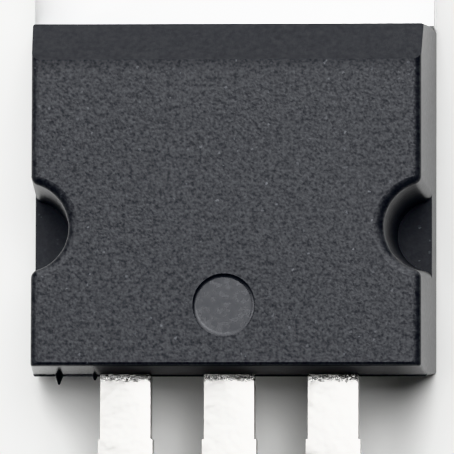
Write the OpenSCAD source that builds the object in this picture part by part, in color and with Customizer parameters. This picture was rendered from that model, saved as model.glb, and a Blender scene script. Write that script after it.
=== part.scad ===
// Power transistor in a moulded package with a metal tab and three flat leads.
// It lies on its metal back. The origin is the centre of the mounting hole on that back,
// +Y points to the free end of the tab, +Z to the moulded front, and the leads run along -Y.

/* [Moulded body] */
// Width of the body on its back, and of the tab that is flush with it
body_w = 9.92; // [9.6:0.01:10.5]
// Length of the body on the tab's front face, from its tab end to the parting line at its lead end
body_l = 8.7; // [8.4:0.05:9.4]
// Thickness of the whole part, from the metal back to the moulded front
body_h = 4.5; // [4.3:0.05:4.8]
// Draft of the two side walls, in degrees
side_draft = 2.8; // [1:0.1:4]
// Draft of the walls at the tab end and at the lead end, in degrees
end_draft = 3.9; // [1:0.1:7]
// Radius of the edges round the front face
edge_r = 0.14; // [0.08:0.01:0.18]
// Radius of the four upright corners
corner_r = 0.35; // [0.3:0.01:0.6]
// Length of the bevel at the tab end, along the front face
bevel_run = 0.95; // [0.6:0.01:1.2]
// Drop of the bevel at the tab end, below the front face
bevel_drop = 0.81; // [0.5:0.01:1.1]

/* [Side scoops] */
// Radius of a scoop at its floor, which is level with the tab's front face
scoop_r = 0.87; // [0.8:0.01:1.1]
// Draft of the scoops' walls, in degrees
scoop_draft = 4; // [1:0.1:6]
// Distance of a scoop's centre outside the top of the side wall
scoop_out = 0.18; // [0.1:0.02:0.4]
// Distance of the scoops' centres from the lead end
scoop_from_end = 3.5; // [2.9:0.05:4.4]
// Radius of the rounded corners at a scoop's mouth
mouth_r = 0.22; // [0.2:0.01:0.4]

/* [Ejector mark] */
// Diameter of the round mark that the ejector pin leaves in the front face
mark_d = 1.52; // [1.2:0.02:2]
// Depth of the mark
mark_depth = 0.07; // [0.03:0.01:0.12]
// Distance of the mark's centre from the lead end
mark_from_end = 1.6; // [1.3:0.05:4]
// Distance of the mark's centre from the middle of the body
mark_x = -0.04; // [-2:0.02:2]

/* [Flash nubs] */
// Distances of the two nubs of flash from the body's side, along the lead end's parting line
nub_from_side = [0.77, 1.65]; // [0.7:0.01:4.4]
// How far each nub stands out
nub_out = [0.23, 0.12]; // [0.05:0.01:0.3]
// Radius of each nub where it leaves the body
nub_r = [0.13, 0.1]; // [0.06:0.01:0.2]
// Radius of a nub's blunt tip
nub_tip_r = 0.02; // [0.01:0.01:0.05]

/* [Tab and heat spreader] */
// Thickness of the tab and heat spreader
tab_t = 1.3; // [1.15:0.05:1.4]
// Length of the tab beyond the body
tab_l = 6.4; // [6:0.05:6.8]
// Diameter of the mounting hole
hole_d = 3.6; // [3.5:0.05:3.9]
// Distance from the centre of the mounting hole to the end of the tab
hole_to_tip = 2.8; // [2.6:0.05:3]
// Chamfer of the tab's two free corners
tab_chamfer = 0.5; // [0.2:0.05:1]
// Moulding left between the heat spreader and the scoops
scoop_wall = 0.14; // [0.1:0.01:0.4]
// Width of the lip along the heat spreader's front edges, which the moulding grips
lip_w = 0.25; // [0.1:0.05:0.5]
// Thickness of that lip
lip_t = 0.6; // [0.4:0.05:0.8]
// Distance from the end of the bare metal back to the lead end of the body
pad_to_end = 2.6; // [2.4:0.05:3.4]
// Width of the groove across the spreader's front, which keeps damp out
groove_w = 0.5; // [0.3:0.05:0.7]
// Depth of that groove
groove_depth = 0.2; // [0.1:0.05:0.4]
// Distance of that groove from the tab end of the body
groove_in = 0.8; // [0.5:0.05:1.5]

/* [Leads] */
// Distance between neighbouring leads
pitch = 2.54; // [2.44:0.01:2.64]
// Height of the leads' back above the metal back of the part
lead_z = 2.4; // [2.3:0.05:2.6]
// Thickness of the leads
lead_t = 0.5; // [0.4:0.02:0.6]
// Length of the leads beyond the body
lead_l = 13.6; // [12.7:0.1:14.7]
// Width of the narrow part of a lead
lead_w = 0.8; // [0.6:0.02:1]
// Width of the wide part of a lead, next to the body
root_w = 1.25; // [1.14:0.01:1.5]
// Length of the wide part of a lead beyond the body
root_l = 3.6; // [3:0.1:4.5]
// Length of the taper between the wide and the narrow part
taper_l = 0.5; // [0.2:0.1:1]
// Distance from the body to the stubs of the cut dam bar
stub_from = 1.57; // [1.2:0.01:2]
// Length of those stubs along the lead
stub_l = 0.9; // [0.5:0.1:1]
// How far those stubs stand out at each side of the lead
stub_out = 0.05; // [0.02:0.01:0.15]
// Taper at each side of a lead's tip
tip_taper = 0.12; // [0.05:0.01:0.2]
// Angle of the down-set between the heat spreader and the centre lead, in degrees
set_angle = 50; // [40:1:60]
// Radius of the down-set's two bends, at mid-thickness
set_r = 0.5; // [0.35:0.05:0.6]

/* [Bonding posts] */
// Width of a bonding post, the wide inner end of an outer lead
post_w = 2.3; // [1.8:0.05:2.5]
// Length of a bonding post
post_l = 1.4; // [1:0.05:1.6]
// Distance from the lead end of the body to a bonding post
post_in = 1; // [0.9:0.05:1.2]
// Diameter of the hole through which the moulding locks an outer lead
lock_d = 0.6; // [0.4:0.05:0.7]
// Distance from the lead end of the body to the centre of that hole
lock_in = 0.6; // [0.5:0.05:0.8]

/* [Chip and bond wires] */
// Width and length of the chip
die_w = 2.4; // [2.2:0.1:3]
// Thickness of the chip
die_t = 0.25; // [0.15:0.05:0.4]
// Distance of the chip's centre from the end of the bare metal back
die_from_pad_end = 2.3; // [1.9:0.1:3]
// Thickness of the solder under the chip
solder_t = 0.06; // [0.03:0.01:0.1]
// How far the solder stands out round the chip
solder_out = 0.12; // [0.05:0.01:0.25]
// Diameter of the emitter's bond wires
emitter_wire_d = 0.3; // [0.2:0.02:0.4]
// Diameter of the base's bond wire
base_wire_d = 0.25; // [0.15:0.02:0.35]
// Distance between the two emitter wires, on the chip
emitter_gap_die = 0.66; // [0.64:0.02:0.8]
// Distance between the two emitter wires, on the bonding post
emitter_gap_post = 0.9; // [0.6:0.05:1.2]
// Height of a bond wire's loop above the line between its ends
loop_rise = 0.9; // [0.6:0.05:1.1]

/* [Hidden] */

$fn = 48;
CORNER_STEPS = 6;
MOUTH_STEPS = 3;
SCOOP_STEPS = 20;
EDGE_STEPS = 4;
BEND_STEPS = 8;
FOOT_STEPS = 8;
OVERLAP = 0.5;
NUB_ROOT = 0.05;

// Places along Y and Z that the pieces share
body_top_y = hole_to_tip - tab_l;
body_end_y = body_top_y - body_l;
pad_end_y = body_end_y + pad_to_end;
lead_mid_z = lead_z + lead_t / 2;
lead_top_z = lead_z + lead_t;
lead_tip_y = body_end_y - lead_l;

// Scoops: centre, and how far each one reaches in at its floor
scoop_x = body_w / 2 - body_h * tan(side_draft) + scoop_out;
scoop_y = body_end_y + scoop_from_end;
scoop_reach_x = scoop_x - scoop_r;

// Heat spreader inside the body: it keeps clear of the scoops
spreader_w = 2 * (scoop_reach_x - scoop_wall);
pad_w = spreader_w - 2 * lip_w;

// Chip, and the places where the bond wires land
die_y = pad_end_y + die_from_pad_end;
die_z = tab_t + solder_t;
die_top_z = die_z + die_t;
die_bond_y = die_y - die_w / 5;
die_bond_x = die_w / 5;
post_y = body_end_y + post_in + post_l / 2;

// Points of an arc, from angle a0 to a1 about c
function arc(c, r, a0, a1, steps) =
    [for (k = [0 : steps]) let (a = a0 + (a1 - a0) * k / steps) c + r * [cos(a), sin(a)]];

// The list v without its first and last entries
function inner(v) = [for (k = [1 : len(v) - 2]) v[k]];

// One side of the body's outline, from the lead end to the tab end, with its scoop.
// hw is half the width, lo and hi the two ends, rc the corners' radius, rs the scoop's, rm its mouth's.
function side_outline(hw, lo, hi, rc, rs, rm) =
    let (
        dx = scoop_x - (hw - rm),
        dy = sqrt(pow(rs + rm, 2) - pow(dx, 2)),
        turn = atan2(dy, dx)
    )
    concat(
        arc([hw - rc, lo + rc], rc, -90, 0, CORNER_STEPS),
        arc([hw - rm, scoop_y - dy], rm, 0, turn, MOUTH_STEPS),
        inner(arc([scoop_x, scoop_y], rs, 180 + turn, 180 - turn, SCOOP_STEPS)),
        arc([hw - rm, scoop_y + dy], rm, -turn, 0, MOUTH_STEPS),
        arc([hw - rc, hi - rc], rc, 0, 90, CORNER_STEPS)
    );

// The whole outline at height z, drawn in by inset, counter-clockwise seen from the front
function body_outline(z, inset) =
    let (
        side = side_outline(
            body_w / 2 - z * tan(side_draft) - inset,
            body_end_y + abs(z - lead_mid_z) * tan(end_draft) + inset,
            body_top_y - max(z - tab_t, 0) * tan(end_draft) - inset,
            corner_r - inset,
            scoop_r + (z - tab_t) * tan(scoop_draft) + inset,
            mouth_r - inset
        ),
        n = len(side)
    )
    concat(side, [for (k = [n - 1 : -1 : 0]) [-side[k].x, side[k].y]]);

// An outline lifted to height z
function lifted(points, z) = [for (p = points) [p.x, p.y, z]];

// Two triangles that face outwards between the edges a-b below and c-d above
function wall_faces(a, b, c, d) = [[a, c, d], [a, d, b]];

// The moulding before anything is cut from it. Below the scoops' floor the outline is plain,
// above it the rings follow the draft, the parting line and the rounded front edge. The last ring
// stands past the front, so that the front can be cut flat in one piece.
module body_shell() {
    rings = concat(
        [lifted(body_outline(tab_t, 0), tab_t), lifted(body_outline(lead_mid_z, 0), lead_mid_z)],
        [for (k = [0 : EDGE_STEPS]) let (
            a = 90 * k / EDGE_STEPS,
            z = body_h - edge_r * (1 - sin(a)),
            inset = edge_r * (1 - cos(a))
        ) lifted(body_outline(z, inset), z)],
        [lifted(body_outline(body_h, edge_r), body_h + OVERLAP)]
    );
    n = len(rings[0]);
    last = len(rings) - 1;
    mouth_a = CORNER_STEPS + 1;
    mouth_b = mouth_a + 2 * MOUTH_STEPS + SCOOP_STEPS;
    plain = [for (i = [0 : n - 1])
        let (k = min(i, n - 1 - i))
        if (k <= mouth_a || k >= mouth_b) i];
    back = body_outline(0, 0);
    back_ring = [for (i = plain) [back[i].x, back[i].y, 0]];
    base = (last + 1) * n;
    points = concat([for (ring = rings) each ring], back_ring);
    walls = [for (r = [0 : last - 1], i = [0 : n - 1])
        let (j = (i + 1) % n)
        each wall_faces(r * n + i, r * n + j, (r + 1) * n + i, (r + 1) * n + j)];
    lower_walls = [for (k = [0 : len(plain) - 1])
        let (m = (k + 1) % len(plain))
        each wall_faces(base + k, base + m, plain[k], plain[m])];
    floors = [
        [for (i = [mouth_a : mouth_b]) i],
        [for (i = [n - 1 - mouth_b : n - 1 - mouth_a]) i]
    ];
    top = [for (i = [n - 1 : -1 : 0]) last * n + i];
    rear = [for (k = [0 : len(plain) - 1]) base + k];
    polyhedron(points = points, faces = concat(walls, lower_walls, floors, [top, rear]));
}

// What is cut away to leave the flat front
module front_cut() {
    translate([-body_w, body_end_y - OVERLAP, body_h])
        cube([2 * body_w, body_l + 2 * OVERLAP, 2 * OVERLAP]);
}

// What the bevel at the tab end takes away
module bevel_cut() {
    z = body_h - bevel_drop;
    y = body_top_y - (z - tab_t) * tan(end_draft);
    translate([-body_w, 0, 0])
        rotate([90, 0, 90])
            linear_extrude(2 * body_w)
                polygon([
                    [y - 2 * bevel_run, body_h + bevel_drop],
                    [y + bevel_run, z - bevel_drop],
                    [y + bevel_run, body_h + bevel_drop]
                ]);
}

// The shallow round mark of the ejector pin, with a slightly sloping rim
module ejector_mark() {
    translate([mark_x, body_end_y + mark_from_end, body_h - mark_depth])
        cylinder(h = 2 * mark_depth, d1 = mark_d - mark_depth, d2 = mark_d + mark_depth);
}

// The blunt nubs of flash that stay on the lead end's parting line
module flash_nubs() {
    for (k = [0 : len(nub_from_side) - 1])
        translate([nub_from_side[k] - body_w / 2, body_end_y + NUB_ROOT, lead_mid_z])
            rotate([90, 0, 0])
                cylinder(h = NUB_ROOT + nub_out[k], r1 = nub_r[k], r2 = nub_tip_r, $fn = 24);
}

module moulded_body() {
    color("#3b3d42")
        difference() {
            union() {
                body_shell();
                flash_nubs();
            }
            front_cut();
            bevel_cut();
            ejector_mark();
            header_shape();
            lead_shape(-pitch);
            lead_shape(pitch);
            solder_shape();
            die_shape();
            base_wire_shape();
            emitter_wire_shape(-1);
            emitter_wire_shape(1);
        }
}

// Flat outline of a lead, from y_in inside the body to its tip, centred on x = 0
module lead_blade(y_in) {
    half_root = root_w / 2;
    half_tip = lead_w / 2;
    half = [
        [half_root, y_in],
        [half_root, body_end_y - stub_from],
        [half_root + stub_out, body_end_y - stub_from],
        [half_root + stub_out, body_end_y - stub_from - stub_l],
        [half_root, body_end_y - stub_from - stub_l],
        [half_root, body_end_y - root_l],
        [half_tip, body_end_y - root_l - taper_l],
        [half_tip, lead_tip_y + 2 * tip_taper],
        [half_tip - tip_taper, lead_tip_y]
    ];
    translate([0, 0, lead_z])
        linear_extrude(lead_t)
            polygon(concat(half, [for (k = [len(half) - 1 : -1 : 0]) [-half[k].x, half[k].y]]));
}

// The bent strip that climbs from the heat spreader to the centre lead
module down_set() {
    z0 = tab_t - lead_t / 2;
    rise = lead_mid_z - z0;
    run = (rise - 2 * set_r * (1 - cos(set_angle))) / sin(set_angle);
    c1 = [pad_end_y - lip_w - lead_t / 2, z0 + set_r];
    p1 = c1 - set_r * [sin(set_angle), cos(set_angle)];
    p2 = p1 + run * [-cos(set_angle), sin(set_angle)];
    c2 = p2 - set_r * [sin(set_angle), cos(set_angle)];
    inside = set_r - lead_t / 2;
    outside = set_r + lead_t / 2;
    upper = concat(
        [[pad_end_y + OVERLAP, tab_t]],
        arc(c1, inside, -90, -90 - set_angle, BEND_STEPS),
        arc(c2, outside, 90 - set_angle, 90, BEND_STEPS),
        [[body_end_y, lead_top_z]]
    );
    lower = concat(
        [[body_end_y, lead_z]],
        arc(c2, inside, 90, 90 - set_angle, BEND_STEPS),
        arc(c1, outside, -90 - set_angle, -90, BEND_STEPS),
        [[pad_end_y + OVERLAP, tab_t - lead_t]]
    );
    translate([-root_w / 2, 0, 0])
        rotate([90, 0, 90])
            linear_extrude(root_w)
                polygon(concat(upper, lower));
}

// The tab, the heat spreader with its gripped lip and groove, and the centre lead
module header_shape() {
    tip_y = hole_to_tip;
    half = body_w / 2;
    difference() {
        union() {
            linear_extrude(tab_t)
                polygon([
                    [-half, body_top_y],
                    [half, body_top_y],
                    [half, tip_y - tab_chamfer],
                    [half - tab_chamfer, tip_y],
                    [tab_chamfer - half, tip_y],
                    [-half, tip_y - tab_chamfer]
                ]);
            translate([-pad_w / 2, pad_end_y, 0])
                cube([pad_w, body_top_y - pad_end_y + OVERLAP, tab_t]);
            translate([-spreader_w / 2, pad_end_y - lip_w, tab_t - lip_t])
                cube([spreader_w, body_top_y - pad_end_y + lip_w + OVERLAP, lip_t]);
            down_set();
            lead_blade(body_end_y + OVERLAP / 2);
        }
        translate([0, 0, -OVERLAP])
            cylinder(h = tab_t + 2 * OVERLAP, d = hole_d);
        translate([-body_w, body_top_y - groove_in, tab_t])
            rotate([90, 0, 90])
                linear_extrude(2 * body_w)
                    polygon([[-groove_w / 2, 0], [0, -groove_depth], [groove_w / 2, 0]]);
    }
}

module header() {
    color("#d9dbdc") header_shape();
}

// An outer lead with its bonding post and its locking hole
module lead_shape(x) {
    translate([x, 0, 0])
        difference() {
            union() {
                lead_blade(post_y);
                translate([-post_w / 2, body_end_y + post_in, lead_z])
                    cube([post_w, post_l, lead_t]);
            }
            translate([0, body_end_y + lock_in, lead_z - OVERLAP])
                cylinder(h = lead_t + 2 * OVERLAP, d = lock_d);
        }
}

module base_lead() {
    color("#e4e5e5") lead_shape(-pitch);
}

module emitter_lead() {
    color("#e4e5e5") lead_shape(pitch);
}

module die_shape() {
    translate([-die_w / 2, die_y - die_w / 2, die_z])
        cube([die_w, die_w, die_t]);
}

module die() {
    color("#6f7a8c") die_shape();
}

module solder_shape() {
    w = die_w + 2 * solder_out;
    translate([-w / 2, die_y - w / 2, tab_t])
        cube([w, w, solder_t]);
}

module die_solder() {
    color("#a9abad") solder_shape();
}

// The flattened end of a bond wire of diameter d, lying along X on the surface that it is bonded to
module wire_foot(d) {
    half = 0.75 * d;
    reach = 0.4 * d;
    linear_extrude(half)
        polygon(concat(
            arc([reach, 0], half, -90, 90, FOOT_STEPS),
            arc([-reach, 0], half, 90, 270, FOOT_STEPS)
        ));
}

// A bond wire of diameter d from point a on the chip to point b on a post: one round loop and two feet
module bond_wire(a, b, d) {
    flat = norm([b.x - a.x, b.y - a.y]);
    climb = b.z - a.z;
    chord = norm([flat, climb]);
    tilt = atan2(climb, flat);
    r = (pow(chord / 2, 2) + pow(loop_rise, 2)) / (2 * loop_rise);
    half_turn = asin(chord / 2 / r);
    centre = [flat, climb] / 2 - (r - loop_rise) * [-sin(tilt), cos(tilt)];
    translate(a)
        rotate([0, 0, atan2(b.y - a.y, b.x - a.x)]) {
            wire_foot(d);
            translate([flat, 0, climb])
                wire_foot(d);
            translate([centre.x, 0, centre.y + d / 2])
                rotate([90, 0, 0])
                    rotate([0, 0, 90 + tilt - half_turn])
                        rotate_extrude(angle = 2 * half_turn)
                            translate([r, 0])
                                circle(d = d, $fn = 16);
        }
}

module base_wire_shape() {
    bond_wire([-die_bond_x, die_bond_y, die_top_z], [-pitch, post_y, lead_top_z], base_wire_d);
}

// side is -1 for the wire nearer the middle of the part and 1 for the outer one
module emitter_wire_shape(side) {
    bond_wire(
        [die_bond_x + side * emitter_gap_die / 2, die_bond_y, die_top_z],
        [pitch + side * emitter_gap_post / 2, post_y, lead_top_z],
        emitter_wire_d
    );
}

module base_wire() {
    color("#cfd1d4") base_wire_shape();
}

module emitter_wire_left() {
    color("#cfd1d4") emitter_wire_shape(-1);
}

module emitter_wire_right() {
    color("#cfd1d4") emitter_wire_shape(1);
}

moulded_body();
header();
base_lead();
emitter_lead();
die();
die_solder();
base_wire();
emitter_wire_left();
emitter_wire_right();
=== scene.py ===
# %% [markdown]
# # A power transistor in its moulded package
#
# A power transistor is a chip of silicon on a thick copper header. The header carries the heat to a
# heat sink through its tab, and three flat leads carry the current. Black epoxy is moulded round all
# of it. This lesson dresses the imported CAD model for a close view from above: the moulded body, the
# plated metal, the light of a small studio, and a camera with a very long lens.
#
# We start with the frame. It loads the CAD model in metres, with every piece where it belongs.

# %% Load the frame
import math

import bmesh
import bpy
import numpy as np
from mathutils import Euler, Matrix, Vector


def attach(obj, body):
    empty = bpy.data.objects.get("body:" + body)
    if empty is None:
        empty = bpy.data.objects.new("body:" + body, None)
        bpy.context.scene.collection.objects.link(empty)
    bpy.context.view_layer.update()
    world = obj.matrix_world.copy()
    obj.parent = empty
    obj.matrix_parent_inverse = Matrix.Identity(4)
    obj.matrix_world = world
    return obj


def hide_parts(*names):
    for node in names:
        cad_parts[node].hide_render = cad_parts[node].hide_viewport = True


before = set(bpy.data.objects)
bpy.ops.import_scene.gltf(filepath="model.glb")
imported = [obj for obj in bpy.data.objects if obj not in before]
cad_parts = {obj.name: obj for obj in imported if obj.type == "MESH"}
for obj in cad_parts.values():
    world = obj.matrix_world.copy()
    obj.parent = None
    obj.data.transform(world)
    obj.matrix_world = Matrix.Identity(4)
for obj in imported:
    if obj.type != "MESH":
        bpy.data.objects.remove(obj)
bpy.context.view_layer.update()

print("pieces:", sorted(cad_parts))

# %% [markdown]
# ## Sizes
#
# Every size is written once, in millimetres, as on the drawing of the package, in the first cell
# that needs it. The lengths along Y follow from where the mounting hole is, because the hole is the
# origin of the frame. Blender works in metres, so points are scaled once, when they become a mesh.

# %% Sizes of the moulded body
MM = 0.001
BODY_W = 9.92
BODY_L = 8.7
BODY_H = 4.5
TAB_T = 1.3
TAB_L = 6.4
HOLE_TO_TIP = 2.8
BODY_TOP = HOLE_TO_TIP - TAB_L
BODY_END = BODY_TOP - BODY_L
print(f"body from y {BODY_END:.2f} to {BODY_TOP:.2f} mm")

# %% Sizes of the bevel at the tab end
END_DRAFT = math.radians(3.9)
BEVEL_RUN = 0.95
BEVEL_DROP = 0.81
BEVEL_LOW = BODY_H - BEVEL_DROP
BEVEL_BACK = BODY_TOP - (BEVEL_LOW - TAB_T) * math.tan(END_DRAFT)
BEVEL_TOP = BEVEL_BACK - BEVEL_RUN
print(f"bevel from y {BEVEL_TOP:.2f} to {BEVEL_BACK:.2f} mm")

# %% [markdown]
# ## Two small helpers
#
# Colours are picked as sRGB hex values, as a paint chart gives them, and one function turns them
# into the linear values that the shader needs. The other function adds a node to any tree. A setting
# is an attribute of the node. An input is a value, a socket that feeds it, or a whole node, whose
# first output then feeds it.

# %% Helpers for colours and nodes
def linear(hex_colour):
    """An sRGB hex colour as linear red, green, blue and alpha."""
    parts = [int(hex_colour[i:i + 2], 16) / 255 for i in (1, 3, 5)]
    return [c / 12.92 if c <= 0.04045 else ((c + 0.055) / 1.055) ** 2.4 for c in parts] + [1]


def add_node(tree, kind, settings=None, inputs=None):
    """Adds a node. An input is a value, a socket, or a node whose first output feeds it."""
    node = tree.nodes.new(kind)
    for name, value in (settings or {}).items():
        setattr(node, name, value)
    for key, value in (inputs or {}).items():
        if isinstance(value, bpy.types.Node):
            value = value.outputs[0]
        if isinstance(value, bpy.types.NodeSocket):
            tree.links.new(value, node.inputs[key])
        else:
            node.inputs[key].default_value = value
    return node


print("mid grey #808080 is", round(linear("#808080")[0], 4), "in linear light")

# %% [markdown]
# ## The camera
#
# The photograph was taken from almost straight above with a long lens: the body's right wall and
# the wall at the lead end show as thin strips, and nothing else is foreshortened. The place and the
# turn were fitted to thirty points on the leads and the body, which leaves about a pixel.

# %% Camera
CAMERA_PLACE = (11.9945, -23.9853, 200.0)
CAMERA_TURN = (0.0775, 0.0609, 0.0026)
CAMERA_LENS = 641.85
SENSOR_W = 36
CLIP_NEAR = 0.01
CLIP_FAR = 20

camera = bpy.data.objects.new("camera", bpy.data.cameras.new("camera"))
bpy.context.scene.collection.objects.link(camera)
camera.location = Vector(CAMERA_PLACE) * MM
camera.rotation_euler = Euler(CAMERA_TURN)
camera.data.sensor_width = SENSOR_W
camera.data.lens = CAMERA_LENS
camera.data.clip_start = CLIP_NEAR
camera.data.clip_end = CLIP_FAR
bpy.context.scene.camera = camera
print("field of view in degrees:", round(math.degrees(2 * math.atan(SENSOR_W / 2 / CAMERA_LENS)), 2))

# %% [markdown]
# ## Paper and light
#
# The part lies on a sheet of matte white paper, which fills the whole picture. It is a little below
# the metal back, so that the two faces never share a plane.

# %% Paper
PAPER_HALF = 3.0
PAPER_DROP = 0.01
PAPER_COLOUR = "#F7F7F6"
PAPER_ROUGH = 0.9
PAPER_GLINT = 0.2


def make_mesh(name, verts, faces, materials=()):
    """A new object with this mesh, in metres, at the origin."""
    mesh = bpy.data.meshes.new(name)
    mesh.from_pydata([tuple(v) for v in verts], [], faces)
    for material in materials:
        mesh.materials.append(material)
    piece = bpy.data.objects.new(name, mesh)
    bpy.context.scene.collection.objects.link(piece)
    return piece


white_paper = bpy.data.materials.new("white_paper")
white_paper.use_nodes = True
paper_shader = white_paper.node_tree.nodes["Principled BSDF"]
paper_shader.inputs["Base Color"].default_value = linear(PAPER_COLOUR)
paper_shader.inputs["Roughness"].default_value = PAPER_ROUGH
paper_shader.inputs["Specular IOR Level"].default_value = PAPER_GLINT
paper_corners = [(x * PAPER_HALF, y * PAPER_HALF, -PAPER_DROP * MM)
                 for x, y in ((-1, -1), (1, -1), (1, 1), (-1, 1))]
paper = make_mesh("paper", paper_corners, [(0, 1, 2, 3)], [white_paper])
print("paper:", 2 * PAPER_HALF, "m on a side")

# %% [markdown]
# Dark plastic shows little of its own colour and much of what it mirrors, so each light has its own
# work. The small key softbox gives the front its sheen. The wide one makes the tab and the leads
# white and the shadows soft, and the left one lights the body from the left. The panel behind the
# tab is mirrored softly in the bevel. Two dim panels, at the left and in front of the leads, lighten
# the left rim and keep the metal from going black when it is seen from behind. Nothing bright stands
# at the right or at the lead end, so those edges stay dark and the shadow falls past the leads. A
# picture of a studio round the scene could do the same, but a softbox can be moved on its own until
# its highlight is right.

# %% Light
DOWN = (0, 0, -1)
TO_LEADS = (0, -1, 0)
TO_TAB = (0, 1, 0)
TO_RIGHT = (1, 0, 0)


def add_softbox(name, place, shines, width, height, radiance):
    """A rectangular light of even radiance, in metres, that shines in the given direction."""
    lamp = bpy.data.lights.new(name, "AREA")
    lamp.shape = "RECTANGLE"
    lamp.size = width
    lamp.size_y = height
    lamp.energy = radiance * math.pi * width * height
    box = bpy.data.objects.new(name, lamp)
    box.location = place
    box.rotation_euler = (-Vector(shines)).to_track_quat("Z", "Y").to_euler()
    bpy.context.scene.collection.objects.link(box)
    print(f"{name}: {lamp.energy:.2f} W")


# Name, place, direction, width, height, radiance.
add_softbox("key_softbox", (0.126, 0.154, 0.9), DOWN, 0.468, 0.252, 8.5)
add_softbox("wide_softbox", (0, 0.676, 0.9), DOWN, 1.62, 0.792, 3.96)
add_softbox("left_softbox", (-0.585, 0.091, 0.9), DOWN, 0.45, 0.378, 5.87)
add_softbox("back_panel", (0, 1.492, 0.6), TO_LEADS, 2.0, 0.5, 6.8)
add_softbox("left_panel", (-1.0, 0, 0.6), TO_RIGHT, 0.8, 1.4, 0.6)
add_softbox("front_panel", (0, -1.6, 0.35), TO_TAB, 4.0, 0.6, 0.3)

# %% The dim light of the room
WORLD_COLOUR = "#8A8C8F"
WORLD_STRENGTH = 0.05
world = bpy.data.worlds.new("studio")
world.use_nodes = True
world.node_tree.nodes["Background"].inputs["Color"].default_value = linear(WORLD_COLOUR)
world.node_tree.nodes["Background"].inputs["Strength"].default_value = WORLD_STRENGTH
bpy.context.scene.world = world
bpy.context.scene.view_settings.view_transform = "Khronos PBR Neutral"
print("room:", WORLD_COLOUR, "at strength", WORLD_STRENGTH)

# %% [markdown]
# ## The epoxy and its three finishes
#
# The moulding is epoxy, filled with powdered silica and blackened with soot. It is one stuff, and the
# steel of the mould gives it three skins: polished at the walls, the bevel and the scoops, eroded by
# sparks on the front and the scoops' floors, and ground where the ejector pin pressed. A skin could
# be an image, but noise on Object coordinates needs no unwrapping, and its grain is a size in
# millimetres. Blender stops a pattern's scale at 1000, so the places are turned to millimetres first.

# %% Helpers for materials
EPOXY_IOR = 1.53
EPOXY_GLINT = "#F7F9FF"
NOISE_CORE = (0.3, 0.7)


def new_material(name, colour, metallic, roughness, ior=None):
    """A material with one principled shader. A metal keeps the default index of refraction."""
    material = bpy.data.materials.new(name)
    material.use_nodes = True
    shader = material.node_tree.nodes["Principled BSDF"]
    shader.inputs["Base Color"].default_value = linear(colour)
    shader.inputs["Metallic"].default_value = metallic
    shader.inputs["Roughness"].default_value = roughness
    if ior:
        shader.inputs["IOR"].default_value = ior
        shader.inputs["Specular Tint"].default_value = linear(EPOXY_GLINT)
    return material, material.node_tree, shader


def place_in_mm(tree):
    """The place on the object in millimetres, so that a pattern's scale is 1 over its size."""
    place = add_node(tree, "ShaderNodeTexCoord")
    return add_node(tree, "ShaderNodeVectorMath", {"operation": "SCALE"},
                    {0: place.outputs["Object"], "Scale": 1 / MM})


print("most of a noise lies between", *NOISE_CORE)

# %% [markdown]
# Epoxy from polished steel is a dark satin. Its highlights are soft and a trace blue, and they are
# broken by faint flow marks in the gloss and by a fine skin in the surface. Real flow marks are a few
# hundredths of a millimetre wide, about one pixel here, so they are drawn 0.12 mm wide to show.

# %% Black epoxy from a polished mould
POLISHED_COLOUR = "#1B1C1F"
FLOW_MM = 0.12
FLOW_ROUGH = (0.26, 0.4)
FLOW_GLINT = (0.32, 0.41)
SKIN_MM = 0.09
SKIN_DEPTH = 0.009
SKIN_STRENGTH = 0.5
polished_epoxy, tree, shader = new_material(
    "epoxy_polished_mould", POLISHED_COLOUR, metallic=0, roughness=0.33, ior=EPOXY_IOR)
spot = place_in_mm(tree)
flow = add_node(tree, "ShaderNodeTexNoise", None, {"Vector": spot, "Scale": 1 / FLOW_MM, "Detail": 3})
flow_rough = add_node(tree, "ShaderNodeMapRange", None,
                      {"Value": flow, "To Min": FLOW_ROUGH[0], "To Max": FLOW_ROUGH[1]})
flow_glint = add_node(tree, "ShaderNodeMapRange", None,
                      {"Value": flow, "From Min": NOISE_CORE[0], "From Max": NOISE_CORE[1],
                       "To Min": FLOW_GLINT[0], "To Max": FLOW_GLINT[1]})
skin = add_node(tree, "ShaderNodeTexNoise", None, {"Vector": spot, "Scale": 1 / SKIN_MM, "Detail": 2})
skin_bump = add_node(tree, "ShaderNodeBump", None,
                     {"Height": skin, "Strength": SKIN_STRENGTH, "Distance": SKIN_DEPTH * MM})
tree.links.new(skin_bump.outputs[0], shader.inputs["Normal"])
print("flow marks", FLOW_MM, "mm wide, roughness", *FLOW_ROUGH)

# %% [markdown]
# The wall at the lead end isn't the same all along. Flux from the tin bath has dulled it round the
# leads and to their right. The piece of wall left of the first lead has kept a gloss, so it mirrors
# the dark room and looks black. Both are painted here as zones along X, with soft ends, on the wall
# only. A second material could do it too, but then the border would have to be an edge of the mesh.

# %% The dulled part of the lead end
END_FADE = (0.3, 0.2)
DULL_FROM = -3.2
DULL_FROM_SOFT = 0.08
DULL_TO = 4.4
DULL_TO_SOFT = 0.3
GLOSSY_ROUGH = 0.14
DULL_ROUGH = 0.5
DULL_GLINT = 0.24
along = add_node(tree, "ShaderNodeSeparateXYZ", None, {0: spot})
at_end = add_node(tree, "ShaderNodeMapRange", None,
                  {"Value": along.outputs["Y"],
                   "From Min": BODY_END + END_FADE[0], "From Max": BODY_END + END_FADE[1]})
past_left = add_node(tree, "ShaderNodeMapRange", None,
                     {"Value": along.outputs["X"],
                      "From Min": DULL_FROM - DULL_FROM_SOFT, "From Max": DULL_FROM + DULL_FROM_SOFT})
before_right = add_node(tree, "ShaderNodeMapRange", None,
                        {"Value": along.outputs["X"],
                         "From Min": DULL_TO + DULL_TO_SOFT, "From Max": DULL_TO - DULL_TO_SOFT})
zone = add_node(tree, "ShaderNodeMath", {"operation": "MULTIPLY"}, {0: at_end, 1: before_right})
dull = add_node(tree, "ShaderNodeMath", {"operation": "MULTIPLY"}, {0: zone, 1: past_left})
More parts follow.
